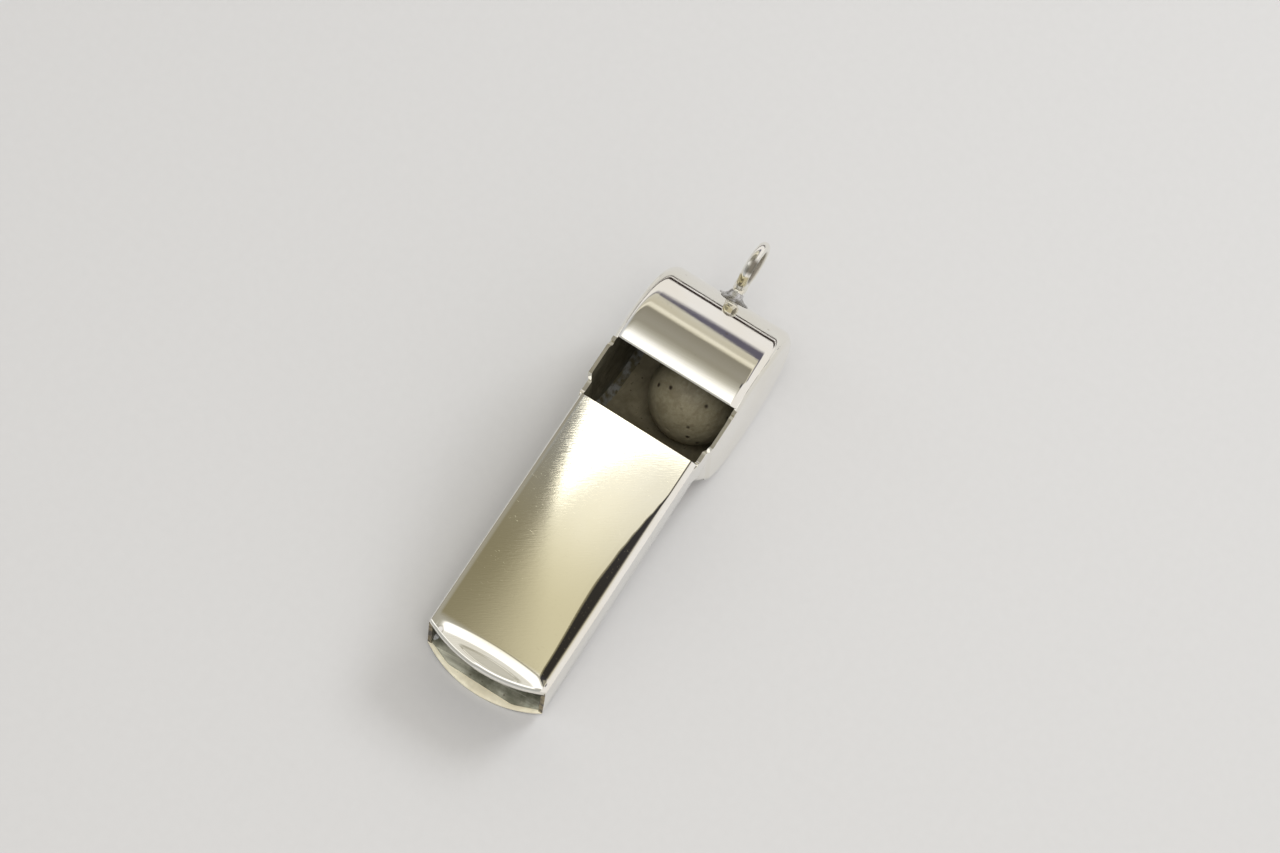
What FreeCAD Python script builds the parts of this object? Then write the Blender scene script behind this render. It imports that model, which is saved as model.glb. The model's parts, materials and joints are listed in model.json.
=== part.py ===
import FreeCAD, Part

import math
import os

# A pea whistle, lying window up on its belly and on the lower lip of its mouthpiece.
#
# Everything is first drawn along the whistle: the barrel axis is Y through (0, 0), X runs from
# the mouth (negative) to the lanyard loop (positive), and Z is up out of the window.  lay_down()
# then tips the finished pieces onto the table, which is the part's frame: the floor is Z = 0,
# the mirror plane of the whistle is Y = 0, and X = 0 is halfway along its overall length.

# Sheet and envelope, millimetres
SHEET = 0.5                 # thickness of the brass sheet
BARREL_R = 9.9              # outside of the barrel band
BARREL_W = 16.3             # over both cheeks at the barrel
BARREL_EDGE_R = 1.0         # rounding of the barrel's rims
MOUTH_W = 15.1              # over both cheeks at the mouthpiece
MOUTH_EDGE_R = 0.3          # rounding along the mouthpiece's long upper edges
UNDER_EDGE_R = 0.4          # rounding along its long lower edges
FLARE_START_X = -10.6       # the cheeks widen from the mouthpiece to the barrel between these
FLARE_END_X = -8.6

# Mouthpiece and window
PLATE_Z = 9.6               # outside of the top plate above the barrel axis
WINDOW_X = -10.45           # rear edge of the top plate
LIP_X = -2.9                # sounding edge of the barrel band
RIM_Z = 9.5                 # top of the cheeks beside the window
RIM_FALL = 0.1              # how much lower the rims are where they meet the lip
FILL_LEAD = 1.0             # the cheeks stand at full width this far ahead of the flare
FILL_FOOT_X = -1.4          # foot of the line that closes the window's sides behind the lip
TOP_CORNER_X = -41.0        # front corners of the top plate
TOP_BULGE = 1.7             # how far its front edge bulges past them
LOW_CORNER_X = -41.8        # the same for the bottom plate
LOW_BULGE = 2.1
UNDER_TIP_Z = 1.1           # outside of the bottom plate at its lip
UNDER_ROOT_Z = 3.2          # and where it meets the barrel
UNDER_ROOT_X = -9.4

# The nose of the top plate: bent down from the bite line, with a shallow hollow across it
BITE_X = -39.65
NOSE_SLOPE = 11.0           # degrees
HOLLOW_X = -41.55
HOLLOW_DEPTH = 0.1
HOLLOW_TUBE_R = 2.6
HOLLOW_ACROSS_R = 120.0     # how it fades out towards the sides

# Windway floor: the inner plate that rises from the mouth to the slit
SLIT_GAP = 0.9
FLOOR_FRONT_X = -42.75
FLOOR_KNEE_X = -39.5
FLOOR_LEVEL_X = -14.0
FLOOR_SHEET = 0.4
FLOOR_CORNER_Y = 4.2
FLOOR_CORNER_CUT = 1.1

# Front wall of the chamber: the band's straight end, leaning forward under the window
WALL_TOP_X = -10.7

# Notches filed in the rims of the cheeks beside the window
NOTCH_XS = (-8.45, -3.75)
NOTCH_W = 0.35
NOTCH_DEPTH = 0.5

# Solder run into the inner corners
CHAMBER_SOLDER_LEG = 0.6
CHAMBER_SOLDER_FROM = -155.0
CHAMBER_SOLDER_TO = 95.0
MOUTH_SOLDER_LEG = 0.35
MOUTH_SOLDER_BEVEL = 0.28
MOUTH_SOLDER_FROM_X = -41.0
MOUTH_SOLDER_TO_X = -32.0

# Cork pea
PEA_R = 5.6
PEA_ORBIT_R = 3.65
PEA_Y = -1.8                # it has rolled over to the right cheek

# Lanyard loop: an eye on a stem that stands radially out of the barrel
LOOP_ANGLE = 18.0
EYE_OUT = 14.25             # eye centre from the barrel axis
EYE_RING_R = 2.5
EYE_WIRE_R = 0.6
EYE_HOLE_R = 1.95
EYE_HOLE_LENGTH = 4.0
STEM_R = 0.6
NECK_R = 0.74               # the stem swells to this above the collar's shoulder
NECK_OUT = 11.5
COLLAR_FOOT_R = 1.75
COLLAR_WAIST_R = 1.02
COLLAR_TOP_R = 0.82
COLLAR_RIM_HEIGHT = 0.02
COLLAR_WAIST_HEIGHT = 0.42
COLLAR_HEIGHT = 0.95
COLLAR_SINK = 0.4           # depth of its foot before the barrel is cut out of it

# Half sizes that several pieces share
INNER_R = BARREL_R - SHEET
HALF_BARREL = BARREL_W / 2
HALF_MOUTH = MOUTH_W / 2
FAR = 60.0                  # longer than anything on the whistle
OVERLAP = 0.2               # how far two outlines of one cheek run into each other
LONG = 1.0                  # edges along the whistle are longer than this
TOUCH = 0.01                # two heights or widths this close are the same

Y_AXIS = FreeCAD.Vector(0, 1, 0)
CENTRE = FreeCAD.Vector(0, 0, 0)


def side_point(x, z):
    """A point of the side view, in the plane Y = 0."""
    return FreeCAD.Vector(x, 0, z)


def on_circle(radius, degrees):
    turn = math.radians(degrees)
    return side_point(radius * math.cos(turn), radius * math.sin(turn))


def line(start, end):
    return Part.LineSegment(start, end).toShape()


def arc(start, middle, end):
    return Part.Arc(start, middle, end).toShape()


def side_prism(edges, half_width):
    """The outline of the side view, made into a solid that is 2 * half_width wide along Y."""
    prism = Part.Face(Part.Wire(edges)).extrude(Y_AXIS * (2 * half_width))
    prism.translate(Y_AXIS * -half_width)
    return prism


def side_polygon(points, half_width):
    corners = [side_point(x, z) for x, z in points]
    return side_prism([line(a, b) for a, b in zip(corners, corners[1:] + corners[:1])], half_width)


def plan_prism(edges):
    """An outline of the plan view, made into a solid that reaches far above and below."""
    prism = Part.Face(Part.Wire(edges)).extrude(FreeCAD.Vector(0, 0, 2 * FAR))
    prism.translate(FreeCAD.Vector(0, 0, -FAR))
    return prism


def plan_polygon(points):
    corners = [FreeCAD.Vector(x, y, 0) for x, y in points]
    return plan_prism([line(a, b) for a, b in zip(corners, corners[1:] + corners[:1])])


def under_z(x):
    """Height of the bottom plate's outer face at x."""
    slope = (UNDER_ROOT_Z - UNDER_TIP_Z) / (UNDER_ROOT_X - LOW_CORNER_X + LOW_BULGE)
    return UNDER_TIP_Z + slope * (x - LOW_CORNER_X + LOW_BULGE)


def nose_z(x):
    """Height of the top plate's outer face at x: level, then bent down ahead of the bite line."""
    return PLATE_Z - max(0.0, BITE_X - x) * math.tan(math.radians(NOSE_SLOPE))


def one_solid(shape):
    """The cleaned single solid of a boolean result."""
    solids = shape.removeSplitter().Solids
    return max(solids, key=lambda solid: solid.Volume)


def flare_outline(inset):
    """Plan outline of the whole whistle, drawn in by inset."""
    mouth = HALF_MOUTH - inset
    barrel = HALF_BARREL - inset
    left = [(-FAR, mouth), (FLARE_START_X, mouth), (FLARE_END_X, barrel), (FAR, barrel)]
    right = [(x, -y) for x, y in reversed(left)]
    return plan_polygon(left + right)


def rounded_barrel():
    """The barrel as a full drum with both rims rounded."""
    start = FreeCAD.Vector(0, -HALF_BARREL, 0)
    drum = Part.makeCylinder(BARREL_R, BARREL_W, start, Y_AXIS)
    rims = [edge for edge in drum.Edges if isinstance(edge.Curve, Part.Circle)]
    return drum.makeFillet(BARREL_EDGE_R, rims)


def rounded_mouthpiece():
    """The mouthpiece as a full bar, with its long edges rounded."""
    bar = side_polygon(
        [
            (-FAR, nose_z(-FAR)),
            (BITE_X, PLATE_Z),
            (LIP_X, PLATE_Z),
            (LIP_X, under_z(LIP_X)),
            (-FAR, under_z(-FAR)),
        ],
        HALF_MOUTH,
    )
    along = [edge for edge in bar.Edges if runs_along(edge)]
    bar = bar.makeFillet(MOUTH_EDGE_R, [e for e in along if e.BoundBox.ZMax > PLATE_Z - TOUCH])
    lower = [e for e in bar.Edges if runs_along(e) and e.BoundBox.ZMax < UNDER_ROOT_Z + LONG]
    return bar.makeFillet(UNDER_EDGE_R, lower)


def runs_along(edge):
    """True for an edge in the side view's plane that runs along the whistle."""
    return edge.BoundBox.XLength > LONG and edge.BoundBox.YLength < TOUCH


def window_fill():
    """The two cheeks' full height beside the window, and the flare's width."""
    return side_polygon(
        [
            (FLARE_START_X - FILL_LEAD, under_z(FLARE_START_X)),
            (FLARE_START_X - FILL_LEAD, PLATE_Z - SHEET),
            (WINDOW_X, PLATE_Z - SHEET),
            (WINDOW_X, RIM_Z),
            (LIP_X, RIM_Z - RIM_FALL),
            (FILL_FOOT_X, 0.0),
        ],
        HALF_BARREL,
    )


def envelope():
    """Everything inside the whistle's outer skin."""
    filled = rounded_barrel().fuse([rounded_mouthpiece(), window_fill()])
    return filled.common(flare_outline(0.0))


def front_cut(corner_x, bulge):
    """Plan region behind a bulging front edge through both corners."""
    left = FreeCAD.Vector(corner_x, HALF_MOUTH, 0)
    nose = FreeCAD.Vector(corner_x - bulge, 0, 0)
    right = FreeCAD.Vector(corner_x, -HALF_MOUTH, 0)
    behind_right = FreeCAD.Vector(FAR, -HALF_MOUTH, 0)
    behind_left = FreeCAD.Vector(FAR, HALF_MOUTH, 0)
    return plan_prism(
        [
            arc(left, nose, right),
            line(right, behind_right),
            line(behind_right, behind_left),
            line(behind_left, left),
        ]
    )


def floor_top_z():
    """Height of the windway floor at the slit."""
    return PLATE_Z - SHEET - SLIT_GAP


def tangent_angle(radius, x, z):
    """Angle on a circle whose tangent climbs forward through (x, z)."""
    out = math.hypot(x, z)
    return math.degrees(math.atan2(z, x) + math.acos(radius / out))


def wall_inner_top():
    """The inner top corner of the chamber's front wall, one sheet behind the outer one."""
    turn = math.radians(tangent_angle(BARREL_R, WALL_TOP_X, floor_top_z()))
    across = side_point(-math.cos(turn) * SHEET, -math.sin(turn) * SHEET)
    outer = side_point(WALL_TOP_X, floor_top_z())
    along = side_point(-math.sin(turn), math.cos(turn))
    lifted = outer + across
    return lifted + along * ((outer.z - lifted.z) / along.z)


def chamber_edges(radius, top):
    """Side view of the chamber out to radius: round the barrel and up the straight front wall."""
    lip = math.degrees(math.acos(LIP_X / radius))
    meet = tangent_angle(radius, top.x, top.z)
    tangent_point = on_circle(radius, meet)
    lip_point = on_circle(radius, lip)
    round_part = arc(lip_point, on_circle(radius, -90 + (lip + meet - 180) / 2), tangent_point)
    return lip_point, [round_part, line(tangent_point, top)]


def band_raw():
    """The barrel band over its full width, before the cheeks are let into it."""
    outer_top = side_point(WALL_TOP_X, floor_top_z())
    outer_lip, outer = chamber_edges(BARREL_R, outer_top)
    inner_lip, inner = chamber_edges(INNER_R, wall_inner_top())
    edges = outer + inner + [line(outer_top, wall_inner_top()), line(inner_lip, outer_lip)]
    return side_prism(Part.__sortEdges__(edges), HALF_BARREL)


def cheek_outline():
    """Side view of a cheek: the drum inside the band, the mouthpiece, and the window's sides."""
    inner_top = wall_inner_top()
    lip_point, inner = chamber_edges(INNER_R, inner_top)
    rim_end = side_point(LIP_X, RIM_Z - RIM_FALL)
    closing = [line(inner_top, rim_end), line(rim_end, lip_point)]
    drum = side_prism(Part.__sortEdges__(inner + closing), HALF_BARREL)
    mouthpiece = side_polygon(
        [
            (TOP_CORNER_X, nose_z(TOP_CORNER_X) - SHEET),
            (BITE_X, PLATE_Z - SHEET),
            (WINDOW_X, PLATE_Z - SHEET),
            (WINDOW_X, RIM_Z),
            (LIP_X, RIM_Z - RIM_FALL),
            (LIP_X, floor_top_z()),
            (inner_top.x + OVERLAP, floor_top_z()),
            (UNDER_ROOT_X, under_z(UNDER_ROOT_X) + SHEET),
            (LOW_CORNER_X, under_z(LOW_CORNER_X) + SHEET),
        ],
        HALF_BARREL,
    )
    return drum.fuse(mouthpiece)


def notches():
    """The four small filed notches as cutting blocks."""
    blocks = []
    for x in NOTCH_XS:
        corner = FreeCAD.Vector(x - NOTCH_W / 2, -HALF_BARREL, RIM_Z - NOTCH_DEPTH)
        blocks.append(Part.makeBox(NOTCH_W, BARREL_W, 2 * NOTCH_DEPTH, corner))
    return blocks


def cheek(skin, side):
    """One cheek: a flat sheet with a joggle, side +1 for the left and -1 for the right."""
    half_space = Part.makeBox(2 * FAR, FAR, 2 * FAR, FreeCAD.Vector(-FAR, 0, -FAR))
    if side < 0:
        half_space = half_space.mirror(CENTRE, Y_AXIS)
    wall = flare_outline(0.0).cut(flare_outline(SHEET)).common(half_space)
    return one_solid(wall.common(cheek_outline()).common(skin).cut(notches()))


def barrel_band(skin, cheeks):
    """Lip, crown, back, belly and front wall of the chamber in one bent strip."""
    return one_solid(band_raw().common(skin).cut(cheeks))


def nose_hollow():
    """A ring of round bar that scoops the shallow hollow out of the bent nose."""
    centre_z = nose_z(HOLLOW_X) - HOLLOW_DEPTH + HOLLOW_ACROSS_R + HOLLOW_TUBE_R
    centre = FreeCAD.Vector(HOLLOW_X, 0, centre_z)
    return Part.makeTorus(HOLLOW_ACROSS_R, HOLLOW_TUBE_R, centre, FreeCAD.Vector(1, 0, 0))


def mouthpiece_top(skin):
    """Top plate with its bulging lip, bent down in front of the bite line and hollowed there."""
    plate = side_polygon(
        [
            (-FAR, nose_z(-FAR)),
            (BITE_X, PLATE_Z),
            (WINDOW_X, PLATE_Z),
            (WINDOW_X, PLATE_Z - SHEET),
            (BITE_X, PLATE_Z - SHEET),
            (-FAR, nose_z(-FAR) - SHEET),
        ],
        HALF_MOUTH,
    )
    plate = plate.common(skin).common(front_cut(TOP_CORNER_X, TOP_BULGE))
    return one_solid(plate.cut(nose_hollow()))


def mouthpiece_bottom(skin, neighbours):
    """Bottom plate, from the lower lip to the barrel."""
    plate = side_polygon(
        [
            (-FAR, under_z(-FAR)),
            (UNDER_ROOT_X, under_z(UNDER_ROOT_X)),
            (UNDER_ROOT_X, under_z(UNDER_ROOT_X) + SHEET),
            (-FAR, under_z(-FAR) + SHEET),
        ],
        HALF_MOUTH,
    )
    drum = Part.makeCylinder(BARREL_R, BARREL_W, FreeCAD.Vector(0, -HALF_BARREL, 0), Y_AXIS)
    plate = plate.common(skin).common(front_cut(LOW_CORNER_X, LOW_BULGE))
    return one_solid(plate.cut([drum] + neighbours))


def windway_floor(band):
    """The inner plate: flat behind the lower lip, then rising to the slit under the window."""
    top = floor_top_z()
    front_z = under_z(FLOOR_FRONT_X) + SHEET
    knee_z = under_z(FLOOR_KNEE_X) + SHEET
    plate = side_polygon(
        [
            (FLOOR_FRONT_X, front_z),
            (FLOOR_FRONT_X, front_z + FLOOR_SHEET),
            (FLOOR_KNEE_X, knee_z + FLOOR_SHEET),
            (FLOOR_LEVEL_X, top),
            (wall_inner_top().x, top),
            (wall_inner_top().x, top - FLOOR_SHEET),
            (FLOOR_LEVEL_X, top - FLOOR_SHEET),
            (FLOOR_KNEE_X, knee_z),
        ],
        HALF_MOUTH - SHEET,
    )
    inner = HALF_MOUTH - SHEET
    corner_x = FLOOR_FRONT_X + FLOOR_CORNER_CUT
    front = [(FLOOR_FRONT_X, FLOOR_CORNER_Y), (corner_x, inner), (0.0, inner)]
    trimmed = plate.common(plan_polygon(front + [(x, -y) for x, y in reversed(front)]))
    return one_solid(trimmed.cut(band))


def chamber_solder(side):
    """Solder run round the corner between a cheek and the band, inside the chamber."""
    wall_y = side * (HALF_BARREL - SHEET)
    leg = CHAMBER_SOLDER_LEG
    corners = [
        FreeCAD.Vector(INNER_R, wall_y, 0),
        FreeCAD.Vector(INNER_R - leg, wall_y, 0),
        FreeCAD.Vector(INNER_R, wall_y - side * leg, 0),
    ]
    face = Part.Face(Part.makePolygon(corners + corners[:1]))
    # a right-handed turn about +Y carries +X towards -Z
    face.rotate(CENTRE, Y_AXIS, -CHAMBER_SOLDER_TO)
    return face.revolve(CENTRE, Y_AXIS, CHAMBER_SOLDER_TO - CHAMBER_SOLDER_FROM)


def floor_top(x):
    """Height of the windway floor's upper face at x, up to where it levels out."""
    flat = under_z(min(x, FLOOR_KNEE_X)) + SHEET + FLOOR_SHEET
    share = max(0.0, x - FLOOR_KNEE_X) / (FLOOR_LEVEL_X - FLOOR_KNEE_X)
    return flat + share * (floor_top_z() - flat)


def mouth_solder(side):
    """A short bead of solder in the mouth's lower corner, between windway floor and cheek."""
    leg = MOUTH_SOLDER_LEG
    stations = [MOUTH_SOLDER_FROM_X, FLOOR_KNEE_X, MOUTH_SOLDER_TO_X]
    foot = [(x, floor_top(x)) for x in stations]
    crest = [(x, z + leg) for x, z in reversed(foot)]
    bead = side_polygon(foot + crest, leg / 2)
    bead.translate(Y_AXIS * side * (HALF_MOUTH - SHEET - leg / 2))
    inner_y = side * (HALF_MOUTH - SHEET - leg)
    free = [edge for edge in bead.Edges if is_free_crest(edge, inner_y, leg)]
    return bead.makeChamfer(MOUTH_SOLDER_BEVEL, free)


def is_free_crest(edge, inner_y, leg):
    """True for the bead's long upper edges on the side away from the cheek."""
    box = edge.BoundBox
    inner = runs_along(edge) and abs(box.YMin - inner_y) < TOUCH
    return inner and abs(box.ZMin - floor_top(box.XMin) - leg) < TOUCH


def pea(tilt):
    """The cork ball, resting at the lowest place of the chamber once the whistle lies down."""
    drop = math.radians(-90.0 - tilt)
    centre = FreeCAD.Vector(PEA_ORBIT_R * math.cos(drop), PEA_Y, PEA_ORBIT_R * math.sin(drop))
    return Part.makeSphere(PEA_R, centre)


def loop_direction():
    return on_circle(1.0, LOOP_ANGLE)


def loop():
    """The lanyard eye, with its stem through the barrel's back."""
    out = loop_direction()
    eye_centre = out * EYE_OUT
    ring = Part.makeTorus(EYE_RING_R, EYE_WIRE_R, eye_centre, Y_AXIS)
    stem = Part.makeCylinder(STEM_R, EYE_OUT - EYE_RING_R - INNER_R, out * INNER_R, out)
    shoulder = BARREL_R + COLLAR_HEIGHT
    neck = Part.makeCone(NECK_R, STEM_R, NECK_OUT - shoulder, out * shoulder, out)
    hole_start = eye_centre - Y_AXIS * (EYE_HOLE_LENGTH / 2)
    hole = Part.makeCylinder(EYE_HOLE_R, EYE_HOLE_LENGTH, hole_start, Y_AXIS)
    return one_solid(ring.fuse([stem, neck]).cut(hole))


def loop_collar():
    """The trumpet-shaped collar at the foot of the loop, on the barrel's back."""
    foot = BARREL_R - COLLAR_SINK
    top = BARREL_R + COLLAR_HEIGHT
    waist = FreeCAD.Vector(COLLAR_WAIST_R, 0, BARREL_R + COLLAR_WAIST_HEIGHT)
    foot_rim = FreeCAD.Vector(COLLAR_FOOT_R, 0, BARREL_R + COLLAR_RIM_HEIGHT)
    shoulder = FreeCAD.Vector(COLLAR_TOP_R, 0, top)
    edges = [
        line(FreeCAD.Vector(STEM_R, 0, foot), FreeCAD.Vector(COLLAR_FOOT_R, 0, foot)),
        line(FreeCAD.Vector(COLLAR_FOOT_R, 0, foot), foot_rim),
        arc(foot_rim, waist, shoulder),
        line(shoulder, FreeCAD.Vector(STEM_R, 0, top)),
        line(FreeCAD.Vector(STEM_R, 0, top), FreeCAD.Vector(STEM_R, 0, foot)),
    ]
    collar = Part.Face(Part.Wire(edges)).revolve(CENTRE, FreeCAD.Vector(0, 0, 1), 360.0)
    collar.rotate(CENTRE, Y_AXIS, 90.0 - LOOP_ANGLE)
    drum = Part.makeCylinder(BARREL_R, BARREL_W, FreeCAD.Vector(0, -HALF_BARREL, 0), Y_AXIS)
    return one_solid(collar.cut(drum))


def resting_tilt():
    """Degrees that the mouth dips when the belly and the lower lip both touch the table."""
    lip_x = LOW_CORNER_X - LOW_BULGE
    reach = math.hypot(lip_x, UNDER_TIP_Z)
    return math.degrees(math.asin(BARREL_R / reach) + math.atan2(UNDER_TIP_Z, -lip_x))


def tipped_x(x, z, tilt):
    """Where a point of the side view comes to lie along the table."""
    turn = math.radians(tilt)
    return x * math.cos(turn) - z * math.sin(turn)


def middle_x(tilt):
    """Halfway between the nose of the top lip and the far side of the lanyard eye."""
    eye = loop_direction() * EYE_OUT
    nose_x = TOP_CORNER_X - TOP_BULGE
    front = tipped_x(nose_x, nose_z(nose_x), tilt)
    back = tipped_x(eye.x, eye.z, tilt) + EYE_RING_R + EYE_WIRE_R
    return (front + back) / 2


def lay_down(shape, tilt):
    """Tips a finished piece onto the table, with the belly on Z = 0 and the middle at X = 0."""
    laid = shape.copy()
    laid.rotate(CENTRE, Y_AXIS, -tilt)
    laid.translate(FreeCAD.Vector(-middle_x(tilt), 0, BARREL_R))
    return laid


def main():
    os.makedirs("parts", exist_ok=True)
    tilt = resting_tilt()
    skin = envelope()
    cheeks = [cheek(skin, 1), cheek(skin, -1)]
    band = barrel_band(skin, cheeks)
    pieces = {
        "left_cheek": cheeks[0],
        "right_cheek": cheeks[1],
        "barrel_band": band,
        "mouthpiece_top": mouthpiece_top(skin),
        "mouthpiece_bottom": mouthpiece_bottom(skin, [band] + cheeks),
        "windway_floor": windway_floor(band),
        "chamber_solder_left": chamber_solder(1),
        "chamber_solder_right": chamber_solder(-1),
        "mouth_solder_left": mouth_solder(1),
        "mouth_solder_right": mouth_solder(-1),
        "pea": pea(tilt),
        "loop": loop().cut(band),
        "loop_collar": loop_collar(),
    }
    pieces["barrel_band"] = one_solid(band.cut(pieces["loop"]))
    for name, shape in pieces.items():
        lay_down(shape, tilt).exportStep(f"parts/{name}.step")
    print("resting tilt", round(tilt, 4), "barrel axis at X", round(-middle_x(tilt), 4))


main()
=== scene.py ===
import json
import math

import bmesh
import bpy
from mathutils import Matrix, Vector, noise


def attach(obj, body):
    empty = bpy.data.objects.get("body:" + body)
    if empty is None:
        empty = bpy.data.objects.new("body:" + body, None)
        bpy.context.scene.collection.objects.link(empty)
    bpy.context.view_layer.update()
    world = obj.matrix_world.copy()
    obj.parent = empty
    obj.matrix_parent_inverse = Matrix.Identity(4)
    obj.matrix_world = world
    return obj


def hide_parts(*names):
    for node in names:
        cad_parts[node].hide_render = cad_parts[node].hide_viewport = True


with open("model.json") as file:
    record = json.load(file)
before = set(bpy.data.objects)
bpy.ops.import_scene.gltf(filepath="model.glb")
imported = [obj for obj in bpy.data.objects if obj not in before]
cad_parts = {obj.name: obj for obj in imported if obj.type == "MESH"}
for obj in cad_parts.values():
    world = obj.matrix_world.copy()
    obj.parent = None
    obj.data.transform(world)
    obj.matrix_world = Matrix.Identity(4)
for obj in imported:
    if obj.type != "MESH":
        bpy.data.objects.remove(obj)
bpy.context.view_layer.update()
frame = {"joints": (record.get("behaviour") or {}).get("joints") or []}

# Lengths are millimetres along the whistle, as it was made: the barrel axis is the origin,
# X runs from the mouth to the lanyard eye, Z is up out of the window.  LAY turns that into
# the frame, in metres, with the whistle lying on its belly and its lower lip.
AXIS = Vector(frame["joints"][0]["pos_m"])
MM = 0.001
BARREL_R = AXIS.z / MM
SHEET = 0.5
HALF_BARREL = 8.15
HALF_MOUTH = 7.55
LEFT_RIM_R = 1.5
RIGHT_RIM_R = 1.4
MOUTH_EDGE_R = 0.3
FIRST_JOGGLE = (-11.4, -10.2)
FIRST_JOGGLE_OUT = 0.25
SECOND_JOGGLE = (-8.7, -8.1)
PLATE_Z = 9.6
WINDOW_X = -10.45
LIP_X = -2.9
RIM_Z = 9.5
TOP_CORNER_X = -41.0
TOP_BULGE = 1.7
LOW_CORNER_X = -41.8
LOW_BULGE = 2.1
UNDER_TIP_Z = 1.1
UNDER_ROOT_Z = 3.2
UNDER_ROOT_X = -9.4
SLIT_GAP = 0.9
FLOOR_FRONT_X = -42.75
FLOOR_KNEE_X = -39.5
FLOOR_LEVEL_X = -14.0
FLOOR_SHEET = 0.4
WALL_TOP_X = -10.7
INNER_R = BARREL_R - SHEET
FLOOR_TOP_Z = PLATE_Z - SHEET - SLIT_GAP
LOOP_ANGLE = math.radians(18.0)
# How far back along the lip, and how much of the sheet is rounded away there.
LIP_TRIM = ((0.0, 0.1), (0.015, 0.06), (0.05, 0.03), (0.11, 0.01), (0.2, 0.0))
# The nose: the line it bends down from, the thumb flat on it, the steps of its profile, and
# the slopes, in degrees, that it takes in turn.
BITE_X = -39.65
FLAT_MIDDLE_Y = -1.0
FLAT_HALF = 4.9
PROFILE_STEP = 0.01
PROFILE_LEAD = 0.4
DIP_SLOPE = 14.0
FLAT_SLOPE = 5.0
BORDER_SLOPE = -9.0
BORDER_WIDTH = 0.055
AGAIN_SLOPE = 8.5
LIP_SLOPE = 38.0
# The buffed right edge: (x, how far from the middle the roll-off starts), where it ends, how
# steep it gets, in degrees, where it fades in behind the nose, and the rim outside it.
ROLL_STARTS = (
    (-40.0, 5.7), (-38.5, 5.55), (-28.0, 4.97), (-23.7, 5.28),
    (-21.5, 5.59), (-19.2, 5.97), (-17.0, 6.44), (-15.1, 6.88),
)
ROLL_END_Y = 6.9
ROLL_SLOPE = 9.5
ROLL_FADE = (-41.2, -39.6)
RIM_WIDTH = 0.7
RIM_DROP = 0.27
RIM_CURVE = 1.45
# The top plate: rounding of its front edge as (distance behind it, share of the full sheet),
# the distance that its stations are counted over, and the worn film along it and across it.
TOP_NOSE = ((0.0, 0.0), (0.04, 0.35), (0.12, 0.62), (0.22, 0.82), (0.34, 0.95))
TOP_SPAN = 31.5
FRONT_SQUEEZE = 0.22
FILM_GROWS_X = (-13.0, -33.0)
FILM_LEAST = 0.38
FILM_FRONT_X = (-40.0, -39.2)
FILM_SIDE_Y = (7.15, 6.8)
# A cheek: extra cuts that let it follow its joggles, and the spring of its upper edge.
CUTS_X = (-25.0, -5.0, 5.0)
CUTS_Z = (8.4, 8.7, 9.0, 9.25)
SPRUNG_OUT = 0.11
SMALL_ROUNDING = 0.06
FRONT_FACES_X = -40.95
# Where the windway plate's front corners start, and how far back they are cut.
FLOOR_CORNER_Y = 4.2
FLOOR_CORNER_CUT = 1.1
# Solder in the chamber's corners: the turn it spans, its legs along cheek and band, its hollow.
BEAD_TURNS = (math.radians(-155), math.radians(95))
BEAD_LEGS = (0.95, 0.85)
BEAD_HOLLOW = 0.12
# Solder in the mouth: where it starts and ends, and its thickness.
MOUTH_BEAD_X = (-41.35, -32.0)
MOUTH_BEAD = 0.42
# The lanyard eye: its stem and collar as (radius, distance from the barrel axis), and the
# angles round its ring, in degrees, between which a patch of painted dark reflection and a
# patch of painted yellowish reflection come and go.
EYE_OUT = 14.25
EYE_RING_R = 2.5
EYE_WIRE_R = 0.6
EYE_STEM = (
    (0.3, 9.35), (0.66, 9.4), (0.68, 10.4), (0.72, 10.9),
    (0.82, 11.25), (0.84, 11.6), (0.7, 12.0), (0.35, 12.25),
)
EYE_COLLAR = (
    (0.5, 9.8), (1.2, 9.84), (1.7, 9.86), (1.8, 9.92), (1.74, 10.0), (1.5, 10.08),
    (1.22, 10.18), (1.02, 10.36), (0.88, 10.56), (0.8, 10.78), (0.74, 10.84), (0.5, 10.86),
)
DARK_REFLECTION_FROM, DARK_REFLECTION_TO = (-24, -10), (24, 12)
YELLOW_SHEEN_FROM, YELLOW_SHEEN_TO = (24, 30), (64, 52)
PEA_R = 5.6
PEA_ORBIT_R = 3.65
PEA_Y = -1.8

lip_reach = math.hypot(LOW_CORNER_X - LOW_BULGE, UNDER_TIP_Z)
TILT = math.asin(BARREL_R / lip_reach) + math.atan2(UNDER_TIP_Z, LOW_BULGE - LOW_CORNER_X)
LAY = Matrix.Translation(AXIS) @ Matrix.Rotation(-TILT, 4, "Y") @ Matrix.Scale(MM, 4)


# ---------------------------------------------------------------- mesh helpers

def smoothstep(low, high, value):
    """0 before low and 1 after high, easing between; low may be the larger of the two."""
    share = min(1.0, max(0.0, (value - low) / (high - low)))
    return share * share * (3.0 - 2.0 * share)


def spaced(start, end, count):
    """count + 1 even stations from start to end."""
    return [start + (end - start) * i / count for i in range(count + 1)]


def half_width(x):
    """Outside of a cheek at x: narrow along the mouthpiece, joggled out to the barrel twice."""
    first = FIRST_JOGGLE_OUT * smoothstep(*FIRST_JOGGLE, x)
    second = (HALF_BARREL - HALF_MOUTH - FIRST_JOGGLE_OUT) * smoothstep(*SECOND_JOGGLE, x)
    return HALF_MOUTH + first + second


def rim_start(radius):
    """Angle, in degrees, at which a rim's rounding passes from the band to the cheek."""
    return math.degrees(math.acos(1 - SHEET / radius))


def add_piece(name, mesh_data, *materials):
    """Puts a bmesh into the scene as an object, and frees it."""
    mesh = bpy.data.meshes.new(name)
    mesh_data.to_mesh(mesh)
    mesh_data.free()
    for material in materials:
        mesh.materials.append(material)
    piece = bpy.data.objects.new(name, mesh)
    bpy.context.scene.collection.objects.link(piece)
    return piece


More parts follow.
